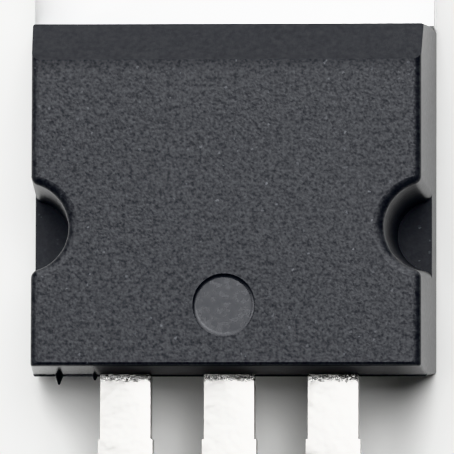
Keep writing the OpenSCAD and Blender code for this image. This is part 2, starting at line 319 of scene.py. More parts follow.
end_rough = add_node(tree, "ShaderNodeMapRange", None,
                     {"Value": past_left, "To Min": GLOSSY_ROUGH, "To Max": DULL_ROUGH})
rough = add_node(tree, "ShaderNodeMix", None, {0: zone, 2: flow_rough, 3: end_rough})
glint = add_node(tree, "ShaderNodeMapRange", None,
                 {"Value": dull, "To Min": flow_glint, "To Max": DULL_GLINT})
tree.links.new(rough.outputs[0], shader.inputs["Roughness"])
tree.links.new(glint.outputs[0], shader.inputs["Specular IOR Level"])
print(f"dull from x {DULL_FROM} to {DULL_TO} mm at the lead end")

# %% [markdown]
# Epoxy from a spark-eroded mould copies the steel's craters, so it is a field of tiny pits and looks
# like a dark, sparkling matte. Real craters are 0.02 mm to 0.06 mm wide, about one or two pixels.
# Two noises make them, drawn 0.15 mm and 0.065 mm wide, because finer ones would only look even. The
# pits are shallower at the crease with the bevel, on the scoops' floors, and here and there where
# the steel is worn.

# %% Black epoxy from a spark-eroded mould
ERODED_COLOUR = "#1D1E21"
PIT_MM = 0.15
FINE_PIT_MM = 0.065
FINE_PIT_SHARE = 0.8
PIT_CRISPNESS = 0.6
PIT_DEPTH = 0.006
eroded_epoxy, tree, shader = new_material(
    "epoxy_eroded_mould", ERODED_COLOUR, metallic=0, roughness=0.45, ior=EPOXY_IOR)
spot = place_in_mm(tree)
along = add_node(tree, "ShaderNodeSeparateXYZ", None, {0: spot})
pits = add_node(tree, "ShaderNodeTexNoise", None,
                {"Vector": spot, "Scale": 1 / PIT_MM, "Detail": 2, "Roughness": PIT_CRISPNESS})
fine_pits = add_node(tree, "ShaderNodeTexNoise", None,
                     {"Vector": spot, "Scale": 1 / FINE_PIT_MM, "Detail": 1})
pit_depth = add_node(tree, "ShaderNodeMath", {"operation": "MULTIPLY_ADD"},
                     {0: fine_pits, 1: FINE_PIT_SHARE, 2: pits})
print("pits", PIT_MM, "and", FINE_PIT_MM, "mm wide")

# %% Where the pits are shallower
CREASE_MM = 0.3
CREASE_PITS = 0.2
FLOOR_PITS = 0.15
WEAR_MM = 1.8
WEAR_CORE = (0.35, 0.65)
WORN_PITS = 0.65
from_crease = add_node(tree, "ShaderNodeMapRange", None,
                       {"Value": along.outputs["Y"], "From Min": BEVEL_TOP,
                        "From Max": BEVEL_TOP - CREASE_MM, "To Min": CREASE_PITS, "To Max": 1})
off_floor = add_node(tree, "ShaderNodeMapRange", None,
                     {"Value": along.outputs["Z"], "From Min": TAB_T, "From Max": BODY_H,
                      "To Min": FLOOR_PITS, "To Max": 1})
wear = add_node(tree, "ShaderNodeTexNoise", None, {"Vector": spot, "Scale": 1 / WEAR_MM, "Detail": 1})
worn = add_node(tree, "ShaderNodeMapRange", None,
                {"Value": wear, "From Min": WEAR_CORE[0], "From Max": WEAR_CORE[1],
                 "To Min": WORN_PITS, "To Max": 1})
faded = add_node(tree, "ShaderNodeMath", {"operation": "MULTIPLY"}, {0: from_crease, 1: worn})
pit_strength = add_node(tree, "ShaderNodeMath", {"operation": "MULTIPLY"}, {0: faded, 1: off_floor})
pit_bump = add_node(tree, "ShaderNodeBump", None,
                    {"Height": pit_depth, "Strength": pit_strength, "Distance": PIT_DEPTH * MM})
tree.links.new(pit_bump.outputs[0], shader.inputs["Normal"])
print("pits at full depth from y", round(BEVEL_TOP - CREASE_MM, 2), "mm")

# %% [markdown]
# The bump alone looks flat, because a crater that is about a pixel wide averages out. So the gloss
# follows the pits as well: a raised spot is rubbed and shines a little more than the bottom of a pit.
# The floor of a scoop is even and duller, since the hole in the mould was hard to reach. The export
# keeps the roughness and drops a specular level that a pattern feeds, so there the front is more even.

# %% Gloss of the pits
PIT_ROUGH = (0.36, 0.52)
FLOOR_FADE_MM = 0.5
FLOOR_ROUGH = 0.58
PIT_SPAN = (0.66, 1.14)
PIT_GLINT = (0.25, 0.68)
FLOOR_GLINT = 0.56
FLOOR_EVEN = 0.75
CREASE_GLINT = 0.72
pit_rough = add_node(tree, "ShaderNodeMapRange", None,
                     {"Value": pits, "From Min": NOISE_CORE[0], "From Max": NOISE_CORE[1],
                      "To Min": PIT_ROUGH[0], "To Max": PIT_ROUGH[1]})
floor_rough = add_node(tree, "ShaderNodeMapRange", None,
                       {"Value": along.outputs["Z"], "From Min": TAB_T + FLOOR_FADE_MM,
                        "From Max": TAB_T, "To Max": FLOOR_ROUGH})
rough = add_node(tree, "ShaderNodeMath", {"operation": "MAXIMUM"}, {0: pit_rough, 1: floor_rough})
pit_glint = add_node(tree, "ShaderNodeMapRange", None,
                     {"Value": pit_depth, "From Min": PIT_SPAN[0], "From Max": PIT_SPAN[1],
                      "To Min": PIT_GLINT[0], "To Max": PIT_GLINT[1]})
crease_glint = add_node(tree, "ShaderNodeMapRange", None,
                        {"Value": along.outputs["Y"], "From Min": BEVEL_TOP,
                         "From Max": BEVEL_TOP - CREASE_MM, "To Min": CREASE_GLINT, "To Max": 1})
on_floor = add_node(tree, "ShaderNodeMapRange", None,
                    {"Value": along.outputs["Z"], "From Min": TAB_T + FLOOR_FADE_MM,
                     "From Max": TAB_T, "To Max": FLOOR_EVEN})
even_glint = add_node(tree, "ShaderNodeMix", None, {0: on_floor, 2: pit_glint, 3: FLOOR_GLINT})
glint = add_node(tree, "ShaderNodeMath", {"operation": "MULTIPLY"}, {0: even_glint, 1: crease_glint})
tree.links.new(rough.outputs[0], shader.inputs["Roughness"])
tree.links.new(glint.outputs[0], shader.inputs["Specular IOR Level"])
print("roughness of the pits", *PIT_ROUGH, "and of the floors", FLOOR_ROUGH)

# %% [markdown]
# Here and there a grain of the silica filler lies at the skin and shows as a grey speck. The specks
# also stand in for the sparkle of the pits, so they are partly a painted glint. A Voronoi pattern gives
# every small cell a colour at random, and only the highest few become specks. The real grains are up
# to 0.05 mm wide, which is the cells' size.

# %% Grains of silica, and painted sparkle
GRAIN_CELL_MM = 0.05
GRAIN_FROM = 0.92
# The speck colour is partly real grain and partly painted glint.
GRAIN_AND_SPARKLE_COLOUR = "#5C5E63"
grains = add_node(tree, "ShaderNodeTexVoronoi", None, {"Vector": spot, "Scale": 1 / GRAIN_CELL_MM})
grain_and_sparkle_here = add_node(tree, "ShaderNodeMapRange", None,
                      {"Value": grains.outputs["Color"], "From Min": GRAIN_FROM, "From Max": 1})
grain_and_sparkle_colour = add_node(tree, "ShaderNodeMix", {"data_type": "RGBA"},
                        {0: grain_and_sparkle_here, 6: linear(ERODED_COLOUR), 7: linear(GRAIN_AND_SPARKLE_COLOUR)})
tree.links.new(grain_and_sparkle_colour.outputs[2], shader.inputs["Base Color"])
print("cells of", GRAIN_CELL_MM, "mm, grains above", GRAIN_FROM)

# %% [markdown]
# Epoxy from the end of the ejector pin copies ground steel. It is smoother than the pits round it,
# so the round mark looks glossier, with a soft mottle. Real grinding marks are finer than a pixel,
# so only their mottle is drawn, 0.16 mm wide.

# %% Black epoxy from the end of the ejector pin
MOTTLE_MM = 0.16
MOTTLE_ROUGH = (0.22, 0.36)
pin_epoxy, tree, shader = new_material(
    "epoxy_ground_pin", ERODED_COLOUR, metallic=0, roughness=0.28, ior=EPOXY_IOR)
spot = place_in_mm(tree)
mottle = add_node(tree, "ShaderNodeTexNoise", None, {"Vector": spot, "Scale": 1 / MOTTLE_MM, "Detail": 3})
mottle_rough = add_node(tree, "ShaderNodeMapRange", None,
                        {"Value": mottle, "From Min": NOISE_CORE[0], "From Max": NOISE_CORE[1],
                         "To Min": MOTTLE_ROUGH[0], "To Max": MOTTLE_ROUGH[1]})
tree.links.new(mottle_rough.outputs[0], shader.inputs["Roughness"])
print("mottle", MOTTLE_MM, "mm wide, roughness", *MOTTLE_ROUGH)

# %% [markdown]
# ## The metals
#
# The header is nickel-plated copper, stamped from rolled strip. The plating is thin and follows the
# strip, so the eye sees a white satin with fine lines along the strip. Real rolling lines are a few
# thousandths of a millimetre wide. They are drawn 0.05 mm wide, two pixels, and twelve times as long.

# %% Nickel-plated copper
NICKEL_COLOUR = "#F0F0F0"
ROLLED_MM = 0.05
ROLLED_STRETCH = (1, 0.08, 1)
ROLLED_DEPTH = 0.004
ROLLED_STRENGTH = 0.1
nickel_plate, tree, shader = new_material(
    "nickel_plated_copper", NICKEL_COLOUR, metallic=1, roughness=0.34)
spot = place_in_mm(tree)
rolling = add_node(tree, "ShaderNodeMapping", None, {"Vector": spot, "Scale": ROLLED_STRETCH})
rolled = add_node(tree, "ShaderNodeTexNoise", None,
                  {"Vector": rolling, "Scale": 1 / ROLLED_MM, "Detail": 3})
rolled_bump = add_node(tree, "ShaderNodeBump", None,
                       {"Height": rolled, "Strength": ROLLED_STRENGTH, "Distance": ROLLED_DEPTH * MM})
tree.links.new(rolled_bump.outputs[0], shader.inputs["Normal"])
print("rolling lines", ROLLED_MM, "mm wide and", round(ROLLED_MM / ROLLED_STRETCH[1], 2), "mm long")

# %% [markdown]
# The leads are copper dipped in molten tin after the moulding. The tin froze bright and slightly
# wavy, so it mirrors the softboxes in soft, bent patches. Where it ends at the moulding it froze in
# beads, in a band of 0.2 mm that is smoother. The band is also painted brighter: a painted highlight
# that lifts the shade of the wall on the tin there. The waves and the beads are drawn at their real size.

# %% Tin on the leads
TIN_COLOUR = "#DAD9D7"
TIN_WAVE_MM = 0.28
TIN_WAVE_DEPTH = 0.032
TIN_WAVE_STRENGTH = 0.5
TIN_ROUGH = 0.36
tin_dip, tree, shader = new_material("tin_dipped_copper", TIN_COLOUR, metallic=1, roughness=TIN_ROUGH)
spot = place_in_mm(tree)
tin_waves = add_node(tree, "ShaderNodeTexNoise", None,
                     {"Vector": spot, "Scale": 1 / TIN_WAVE_MM, "Detail": 1})
tin_bump = add_node(tree, "ShaderNodeBump", None,
                    {"Height": tin_waves, "Strength": TIN_WAVE_STRENGTH, "Distance": TIN_WAVE_DEPTH * MM})
print("waves in the tin", TIN_WAVE_MM, "mm wide")

# %% The beaded band at the roots
BEAD_NOISE_MM = 0.055
BEAD_NOISE_DEPTH = 0.022
BEAD_TWIST = 0.5
RAGGED_MM = 0.16
ROOT_BAND = 0.2
BAND_EDGE = (0.08, 0.14)
BAND_ROUGH = 0.27
# The band's brighter colour is a painted highlight against the shade of the wall.
BAND_PAINTED_LIGHT = "#E8E7E5"
beads = add_node(tree, "ShaderNodeTexNoise", None,
                 {"Vector": spot, "Scale": 1 / BEAD_NOISE_MM, "Detail": 2, "Distortion": BEAD_TWIST})
along = add_node(tree, "ShaderNodeSeparateXYZ", None, {0: spot})
ragged = add_node(tree, "ShaderNodeMath", {"operation": "MULTIPLY_ADD"},
                  {0: beads, 1: RAGGED_MM, 2: along.outputs["Y"]})
in_band = add_node(tree, "ShaderNodeMapRange", None,
                   {"Value": ragged, "From Min": BODY_END - ROOT_BAND + BAND_EDGE[0],
                    "From Max": BODY_END - ROOT_BAND + BAND_EDGE[1]})
band_rough = add_node(tree, "ShaderNodeMapRange", None,
                      {"Value": in_band, "To Min": TIN_ROUGH, "To Max": BAND_ROUGH})
painted_band_colour = add_node(tree, "ShaderNodeMix", {"data_type": "RGBA"},
                       {0: in_band, 6: linear(TIN_COLOUR), 7: linear(BAND_PAINTED_LIGHT)})
bead_bump = add_node(tree, "ShaderNodeBump", None,
                     {"Height": beads, "Strength": in_band,
                      "Distance": BEAD_NOISE_DEPTH * MM, "Normal": tin_bump})
tree.links.new(band_rough.outputs[0], shader.inputs["Roughness"])
tree.links.new(bead_bump.outputs[0], shader.inputs["Normal"])
print("band of", ROOT_BAND, "mm with beads", BEAD_NOISE_MM, "mm wide")

# %% [markdown]
# The tin is painted darker towards the moulding, with the same ragged edge as the band. This is painted
# shade:
# it stands for the shadow of the wall on the tin and for the dark wall mirrored in it.

# %% Painted shade at the roots
# The dark colour below is painted shade on the tin next to the moulding.
ROOT_SHADE_COLOUR = "#1C1D20"
ROOT_SHADE_FROM = 0.09
ROOT_SHADE_TO = 0.18
root_shade = add_node(tree, "ShaderNodeMapRange", None,
                 {"Value": ragged, "From Min": BODY_END - ROOT_SHADE_FROM, "From Max": BODY_END + ROOT_SHADE_TO})
root_shaded_colour = add_node(tree, "ShaderNodeMix", {"data_type": "RGBA"},
                       {0: root_shade, 6: painted_band_colour.outputs[2], 7: linear(ROOT_SHADE_COLOUR)})
tree.links.new(root_shaded_colour.outputs[2], shader.inputs["Base Color"])
print("bleed from", ROOT_SHADE_FROM, "mm off the moulding")

# %% [markdown]
# Three stuffs lie inside the moulding, where no light reaches them. They are plain: silicon, lapped
# and polished to a dark blue-grey mirror; soft solder, cast between chip and header, a dull grey; and
# aluminium wire, drawn through a die, a bright satin.

# %% Chip, solder and bond wire
silicon = new_material("polished_silicon", "#5A616E", metallic=0.6, roughness=0.18)[0]
die_solder = new_material("soft_solder", "#A8A9AA", metallic=1, roughness=0.42)[0]
aluminium_wire = new_material("drawn_aluminium", "#DADBDD", metallic=1, roughness=0.3)[0]
print("materials:", sorted(material.name for material in bpy.data.materials))

# %% [markdown]
# ## The moulded body
#
# The body's walls lean inwards by a few degrees so that it leaves the mould. Its outline is the
# same rule at every height: two corners, and a round scoop with rounded mouths at each side, which
# grow and shrink with the draft. So the body is a loft. Python works out the outline at each height
# where the rule changes, and a Geometry Nodes tree skins the outlines and rounds the front edge. A
# block with booleans would be shorter, but its edges would need a bevel of one width all round.
#
# The front edge of the real body isn't evenly round. It is widest in the scoops and narrowest at the
# lead end. So each point of an outline also says which way its wall faces, and how far: the longer
# that arrow is, the wider the rounding is there.

# %% Sizes of the outline
SIDE_DRAFT = math.radians(2.8)
CORNER_R = 0.06
SCOOP_R = 0.87
SCOOP_DRAFT = math.radians(4)
MOUTH_R = 0.22
SCOOP_PAST_SIDE = 0.18
SCOOP_FROM_END = 3.5
SCOOP_X = BODY_W / 2 - BODY_H * math.tan(SIDE_DRAFT) + SCOOP_PAST_SIDE
SCOOP_Y = BODY_END + SCOOP_FROM_END
LEAD_Z = 2.4
LEAD_T = 0.5
PARTING = LEAD_Z + LEAD_T / 2
SIDE_ROUND = 1.5
END_ROUND = 0.7
SCOOP_ROUND = 1.9
CORNER_STEPS = 4
MOUTH_STEPS = 8
SCOOP_STEPS = 40
print(f"scoops at x {SCOOP_X:.2f}, y {SCOOP_Y:.2f} mm, parting line at z {PARTING} mm")

# %% The outline at one height
def arc(centre, radius, start, end, steps, facing=1):
    """Points of an arc and the way its wall faces: rows of x, y, facing x, facing y."""
    angle = np.radians(np.linspace(start, end, steps + 1))
    way = np.column_stack([np.cos(angle), np.sin(angle)])
    return np.hstack([np.array(centre) + radius * way, facing * way])


def outline(z, scooped, flash):
    """The whole outline at height z, counter-clockwise: with scoops or plain, and the flash's width."""
    half = BODY_W / 2 - z * math.tan(SIDE_DRAFT)
    low = BODY_END + abs(z - PARTING) * math.tan(END_DRAFT)
    high = BODY_TOP - max(z - TAB_T, 0) * math.tan(END_DRAFT)
    scoop_r = SCOOP_R + (z - TAB_T) * math.tan(SCOOP_DRAFT)
    across = SCOOP_X - (half - MOUTH_R)
    along = math.sqrt((scoop_r + MOUTH_R) ** 2 - across ** 2)
    turn = math.degrees(math.atan2(along, across))
    past_mouth = np.sin(np.linspace(0, math.pi, SCOOP_STEPS + 1))[:, None]
    widening = SIDE_ROUND + (SCOOP_ROUND - SIDE_ROUND) * past_mouth
    low_corner = arc((half - CORNER_R, low + CORNER_R), CORNER_R, -90, 0, CORNER_STEPS)
    side = np.vstack([
        arc((half - MOUTH_R, SCOOP_Y - along), MOUTH_R, 0, turn, MOUTH_STEPS, SIDE_ROUND),
        arc((SCOOP_X, SCOOP_Y), scoop_r, 180 + turn, 180 - turn, SCOOP_STEPS, -widening)[1:-1],
        arc((half - MOUTH_R, SCOOP_Y + along), MOUTH_R, -turn, 0, MOUTH_STEPS, SIDE_ROUND),
    ])
    high_corner = arc((half - CORNER_R, high - CORNER_R), CORNER_R, 0, 90, CORNER_STEPS)
    low_corner[:, 1] += flash * low_corner[:, 3]
    low_corner[:, 2:] = (SIDE_ROUND, -END_ROUND)
    high_corner[:, 2:] = (SIDE_ROUND, END_ROUND)
    if not scooped:
        side[:, 0] = half
        side[:, 2:] = (1, 0)
    right = np.vstack([low_corner, side, high_corner])
    return np.vstack([right, right[::-1] * (-1, 1, -1, 1)])


print("points of an outline:", len(outline(BODY_H, True, 0)))

# %% [markdown]
# Eight rings are enough. Two carry the plain block up to the tab's height, where the floors of the
# scoops lie, and the third starts the scoops there. The lowest is 0.02 mm above the back, so that
# the part rests on its metal alone. The next four make a thin ridge of flash: where the halves of the
# mould meet, at the leads' mid height, the epoxy crept out between them at the lead end. The last
# ring is where the front edge starts to turn.

# %% The rings
BACK_STEP = 0.02
FLASH_OUT = 0.03
FLASH_T = 0.04
EDGE_RISE = 0.16
EDGE_TURN = math.radians(80)
FLASH_LOW = PARTING - FLASH_T / 2
FLASH_HIGH = PARTING + FLASH_T / 2
# Height, with scoops or without, width of the flash.
levels = [(BACK_STEP, False, 0), (TAB_T, False, 0), (TAB_T, True, 0),
          (FLASH_LOW, True, 0), (FLASH_LOW, True, FLASH_OUT),
          (FLASH_HIGH, True, FLASH_OUT), (FLASH_HIGH, True, 0),
          (BODY_H - EDGE_RISE * math.sin(EDGE_TURN), True, 0)]
rings = [(outline(z, scooped, flash), z) for z, scooped, flash in levels]
ring_points = len(rings[0][0])
print(len(rings), "rings of", ring_points, "points")

# %% [markdown]
# The tree lays a flat grid, one column for each point of a ring and one row for each ring, and
# then moves every point of the grid to its place. The rows past the last ring turn over the front
# edge. They stop at 80 degrees instead of 90, so that a fine crease is left round the flat front, as
# on the real one. One column more than there are points closes the loft.

# %% The loft tree: which ring point each grid point takes
def new_tree(name, sizes):
    """A Geometry Nodes tree with a geometry input and output and one named input for each size."""
    tree = bpy.data.node_groups.new(name, "GeometryNodeTree")
    tree.interface.new_socket("Geometry", in_out="INPUT", socket_type="NodeSocketGeometry")
    for label, kind in sizes:
        tree.interface.new_socket(label, in_out="INPUT", socket_type=kind)
    tree.interface.new_socket("Geometry", in_out="OUTPUT", socket_type="NodeSocketGeometry")
    return tree, add_node(tree, "NodeGroupInput").outputs


loft, given = new_tree("loft_through_rings", [
    ("Rings", "NodeSocketInt"), ("Ring points", "NodeSocketInt"),
    ("Edge rise", "NodeSocketFloat"), ("Edge turn", "NodeSocketFloat"), ("Edge steps", "NodeSocketInt")])
rows = add_node(loft, "ShaderNodeMath", {"operation": "ADD"}, {0: given["Rings"], 1: given["Edge steps"]})
columns = add_node(loft, "ShaderNodeMath", {"operation": "ADD"}, {0: given["Ring points"], 1: 1})
grid = add_node(loft, "GeometryNodeMeshGrid", None, {"Vertices X": columns, "Vertices Y": rows})
number = add_node(loft, "GeometryNodeInputIndex")
row = add_node(loft, "ShaderNodeMath", {"operation": "MODULO"}, {0: number, 1: rows})
strip = add_node(loft, "ShaderNodeMath", {"operation": "DIVIDE"}, {0: number, 1: rows})
column = add_node(loft, "ShaderNodeMath", {"operation": "FLOOR"}, {0: strip})
around = add_node(loft, "ShaderNodeMath", {"operation": "MODULO"}, {0: column, 1: given["Ring points"]})
last_ring = add_node(loft, "ShaderNodeMath", {"operation": "SUBTRACT"}, {0: given["Rings"], 1: 1})
ring = add_node(loft, "ShaderNodeMath", {"operation": "MINIMUM"}, {0: row, 1: last_ring})
source = add_node(loft, "ShaderNodeMath", {"operation": "MULTIPLY_ADD"},
                  {0: ring, 1: given["Ring points"], 2: around})
print("loft tree so far:", len(loft.nodes), "nodes")

# %% The loft tree: how far each point turns over the edge
over = add_node(loft, "ShaderNodeMath", {"operation": "SUBTRACT"}, {0: row, 1: last_ring})
past = add_node(loft, "ShaderNodeMath", {"operation": "MAXIMUM"}, {0: over, 1: 0})
share = add_node(loft, "ShaderNodeMath", {"operation": "DIVIDE"}, {0: past, 1: given["Edge steps"]})
turned = add_node(loft, "ShaderNodeMath", {"operation": "MULTIPLY"}, {0: share, 1: given["Edge turn"]})
sine = add_node(loft, "ShaderNodeMath", {"operation": "SINE"}, {0: turned})
cosine = add_node(loft, "ShaderNodeMath", {"operation": "COSINE"}, {0: turned})
drawn = add_node(loft, "ShaderNodeMath", {"operation": "SUBTRACT"}, {0: cosine, 1: 1})
inwards = add_node(loft, "ShaderNodeMath", {"operation": "MULTIPLY"}, {0: drawn, 1: given["Edge rise"]})
upwards = add_node(loft, "ShaderNodeMath", {"operation": "MULTIPLY"}, {0: sine, 1: given["Edge rise"]})
print("loft tree so far:", len(loft.nodes), "nodes")

# %% The loft tree: put each point in its place
WELD_MM = 0.0001
facing = add_node(loft, "GeometryNodeInputNamedAttribute", {"data_type": "FLOAT_VECTOR"},
                  {"Name": "facing"})
position = add_node(loft, "GeometryNodeInputPosition")
on_ring = add_node(loft, "GeometryNodeSampleIndex", {"data_type": "FLOAT_VECTOR"},
                   {"Geometry": given["Geometry"], "Value": position, "Index": source})
wall_way = add_node(loft, "GeometryNodeSampleIndex", {"data_type": "FLOAT_VECTOR"},
                    {"Geometry": given["Geometry"], "Value": facing, "Index": source})
drawn_in = add_node(loft, "ShaderNodeVectorMath", {"operation": "SCALE"}, {0: wall_way, "Scale": inwards})
lifted = add_node(loft, "ShaderNodeCombineXYZ", None, {"Z": upwards})
moved = add_node(loft, "ShaderNodeVectorMath", {"operation": "ADD"}, {0: on_ring, 1: drawn_in})
moved_up = add_node(loft, "ShaderNodeVectorMath", {"operation": "ADD"}, {0: moved, 1: lifted})
skinned = add_node(loft, "GeometryNodeSetPosition", None,
                   {"Geometry": grid.outputs["Mesh"], "Position": moved_up})
closed = add_node(loft, "GeometryNodeMergeByDistance", None,
                  {"Geometry": skinned, "Distance": WELD_MM * MM})
real = add_node(loft, "GeometryNodeRealizeInstances", None, {"Geometry": closed})
coated = add_node(loft, "GeometryNodeSetMaterial", None, {"Geometry": real, "Material": polished_epoxy})
add_node(loft, "NodeGroupOutput", None, {0: coated})
print("loft tree:", len(loft.nodes), "nodes")

# %% [markdown]
# The rings go in as plain points, with the arrow of each point as an attribute. The evaluated object
# is turned into a plain mesh, and the modifier is removed, because a finished piece needs no tree.

# %% Loft the body
EDGE_STEPS = 10


def run_tree(piece, tree, values):
    """Puts the tree on the piece with these inputs and returns the result as a plain mesh."""
    modifier = piece.modifiers.new(tree.name, "NODES")
    modifier.node_group = tree
    for item in tree.interface.items_tree:
        if item.in_out == "INPUT" and item.name in values:
            modifier[item.identifier] = values[item.name]
    graph = bpy.context.evaluated_depsgraph_get()
    mesh = bpy.data.meshes.new_from_object(piece.evaluated_get(graph))
    piece.modifiers.remove(modifier)
    return mesh


ring_verts = np.vstack([np.column_stack([r[:, :2], np.full(len(r), z)]) for r, z in rings]) * MM
moulding = make_mesh("moulding", ring_verts, [])
ways = np.vstack([np.column_stack([r[:, 2:], np.zeros(len(r))]) for r, z in rings])
attribute = moulding.data.attributes.new("facing", "FLOAT_VECTOR", "POINT")
attribute.data.foreach_set("vector", ways.ravel())
moulding.data = run_tree(moulding, loft, {
    "Rings": len(rings), "Ring points": ring_points,
    "Edge rise": EDGE_RISE * MM, "Edge turn": EDGE_TURN, "Edge steps": EDGE_STEPS})
print("loft:", len(moulding.data.vertices), "points,", len(moulding.data.polygons), "faces")

# %% [markdown]
# The loft is open at the back and the front, so both are filled with one flat face. The bevel at
# the tab end is flat and runs right across, so one cut with a plane makes it, and the cut is filled.

# %% Close it, and cut the bevel
ON_PLANE_MM = 0.00001


def open_edges(bm):
    """The edges that have a face on one side only."""
    return [edge for edge in bm.edges if edge.is_boundary]


body = bmesh.new()
body.from_mesh(moulding.data)
bmesh.ops.delete(body, geom=[e for e in body.edges if not e.link_faces], context="EDGES")
bmesh.ops.holes_fill(body, edges=open_edges(body))
bmesh.ops.recalc_face_normals(body, faces=body.faces)
bmesh.ops.bisect_plane(
    body, geom=body.verts[:] + body.edges[:] + body.faces[:], dist=ON_PLANE_MM * MM,
    plane_co=Vector((0, BEVEL_BACK, BEVEL_LOW)) * MM, plane_no=(0, BEVEL_DROP, BEVEL_RUN),
    clear_outer=True)
bmesh.ops.holes_fill(body, edges=open_edges(body))
bmesh.ops.recalc_face_normals(body, faces=body.faces)
print("open edges left:", len(open_edges(body)))
body.to_mesh(moulding.data)

# %% [markdown]
# An ejector pin pushed the part out of the mould and left a round mark in the front. The pin's end
# is flat with a worn, rounded rim, so the mark has a flat floor that curves up to its edge, where
# there is a hair of a lip. The pin is turned from its profile and taken out of the front with an
# exact boolean, which leaves the rest of the front as it is.

# %% The ejector pin
MARK_D = 1.52
MARK_DEPTH = 0.07
MARK_LIP_R = 0.01
MARK_ASIDE = -0.04
MARK_FROM_END = 1.6
MARK_PLACE = (MARK_ASIDE, BODY_END + MARK_FROM_END)
PIN_ROUND = 0.2
PIN_TURN = math.radians(27)
PIN_PAST_FRONT = 0.05
PIN_POINTS = 9
LIP_POINTS = 7
PIN_SIDES = 96


def turned_piece(name, place, profile, turn, steps):
    """A closed solid of revolution about Z from (radius, height) pairs in mm, turned and moved."""
    angles = np.linspace(0, 2 * math.pi, steps, endpoint=False)
    verts = [Vector((r * math.cos(a), r * math.sin(a), h)) for r, h in profile for a in angles]
    faces = [(k * steps + i, k * steps + (i + 1) % steps, (k + 1) * steps + (i + 1) % steps,
              (k + 1) * steps + i)
             for k in range(len(profile) - 1) for i in range(steps)]
    caps = [tuple(reversed(range(steps))), tuple(range((len(profile) - 1) * steps, len(profile) * steps))]
    return make_mesh(name, [(turn @ v + Vector(place)) * MM for v in verts], faces + caps)


mark_r = MARK_D / 2 - MARK_LIP_R / 2
worn_rim = [(mark_r - PIN_ROUND * (math.sin(PIN_TURN) - math.sin(a)),
             -MARK_DEPTH + PIN_ROUND * (1 - math.cos(a)))
            for a in np.linspace(0, PIN_TURN, PIN_POINTS)]
lip = [(mark_r + MARK_LIP_R * (1 - math.cos(a)), MARK_LIP_R * (math.sin(a) - 1))
       for a in np.linspace(0, math.pi / 2, LIP_POINTS)]
pin_profile = worn_rim + lip + [(MARK_D / 2 + MARK_LIP_R, PIN_PAST_FRONT)]
pin = turned_piece("ejector_pin", (*MARK_PLACE, BODY_H), pin_profile, Matrix.Identity(3), PIN_SIDES)
print("flat floor of the mark:", round(2 * worn_rim[0][0], 2), "of", MARK_D, "mm")

# %% Take the ejector mark out
cut = moulding.modifiers.new("ejector_mark", "BOOLEAN")
cut.operation = "DIFFERENCE"
cut.solver = "EXACT"
cut.object = pin
graph = bpy.context.evaluated_depsgraph_get()
moulding.data = bpy.data.meshes.new_from_object(moulding.evaluated_get(graph))
moulding.modifiers.remove(cut)
bpy.data.objects.remove(pin)
print("with the mark:", len(moulding.data.polygons), "faces")

# %% [markdown]
# Two small nubs of flash stick out of the lead end left of the first lead, at the parting line, where
# epoxy ran into the vents of the mould. Each is a blunt cone that starts inside the wall, so that no
# gap can show.

# %% Add the nubs
# Distance from the left side, radius at the root, reach past the wall.
NUBS = ((0.77, 0.13, 0.23), (1.65, 0.1, 0.12))
NUB_TIP_R = 0.02
NUB_ROOT = 0.05
NUB_SIDES = 24
body = bmesh.new()
body.from_mesh(moulding.data)
for from_side, radius, reach in NUBS:
    nub = turned_piece("nub", (from_side - BODY_W / 2, BODY_END + NUB_ROOT, PARTING),
                       [(radius, 0), (NUB_TIP_R, reach + NUB_ROOT)],
                       Matrix.Rotation(math.radians(90), 3, "X"), NUB_SIDES)
    body.from_mesh(nub.data)
    bpy.data.objects.remove(nub)
bmesh.ops.recalc_face_normals(body, faces=body.faces)
print("with the nubs:", len(body.faces), "faces")

# %% [markdown]
# Last come the shading and the three finishes. An edge is shaded sharp where it turns by more than
# 22 degrees, and round the flat front by more than 5, so the fine crease there stays crisp. Each face
# gets its finish by where its middle is and where it faces. The rounding is eroded only on its upper
# part, because the polish of the mould's wall reaches up into it.

# %% Crisp and soft edges
SHARP = math.radians(22)
RIM_SHARP = math.radians(5)
ON_FRONT_MM = 0.0001
for edge in body.edges:
    on_rim = all(abs(v.co.z - BODY_H * MM) < ON_FRONT_MM * MM
                 and (v.co.xy / MM - Vector(MARK_PLACE)).length > MARK_D for v in edge.verts)
    edge.smooth = edge.calc_face_angle(0) < (RIM_SHARP if on_rim else SHARP)
print("soft edges:", sum(edge.smooth for edge in body.edges), "of", len(body.edges))

# %% The finish of each face
POLISHED, ERODED, GROUND = range(3)
FRONT_HAIR = 0.001
MARK_REACH = 0.1
FLOOR_REACH = 0.01
FLAT = 0.9999
ERODED_TO = 0.5
for face in body.faces:
    face.smooth = True
    middle = face.calc_center_median() / MM
    below_front = middle.z < BODY_H - FRONT_HAIR
    in_mark = (below_front and middle.z > BODY_H - MARK_REACH
               and (middle.xy - Vector(MARK_PLACE)).length < MARK_D / 2)
    on_bevel = below_front and middle.y > BEVEL_TOP
    on_front = middle.z > BODY_H - EDGE_RISE and face.normal.z > ERODED_TO and not on_bevel
    on_scoop_floor = abs(middle.z - TAB_T) < FLOOR_REACH and face.normal.z > FLAT
    face.material_index = GROUND if in_mark else ERODED if on_front or on_scoop_floor else POLISHED
moulding.data.materials.clear()
for material in (polished_epoxy, eroded_epoxy, pin_epoxy):
    moulding.data.materials.append(material)
body.to_mesh(moulding.data)
print("faces by finish:", np.bincount([face.material_index for face in body.faces]).tolist())

# %% [markdown]
# A weighted normal lets the large flat faces keep their flat shading, while the narrow strips of the
# rounding carry all of the turn. Then the moulding takes the place of its CAD node.

# %% Finish the moulding
even = moulding.modifiers.new("even_normals", "WEIGHTED_NORMAL")
even.keep_sharp = True
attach(moulding, "root")
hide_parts("moulded_body")
print("moulding:", len(moulding.data.polygons), "faces")

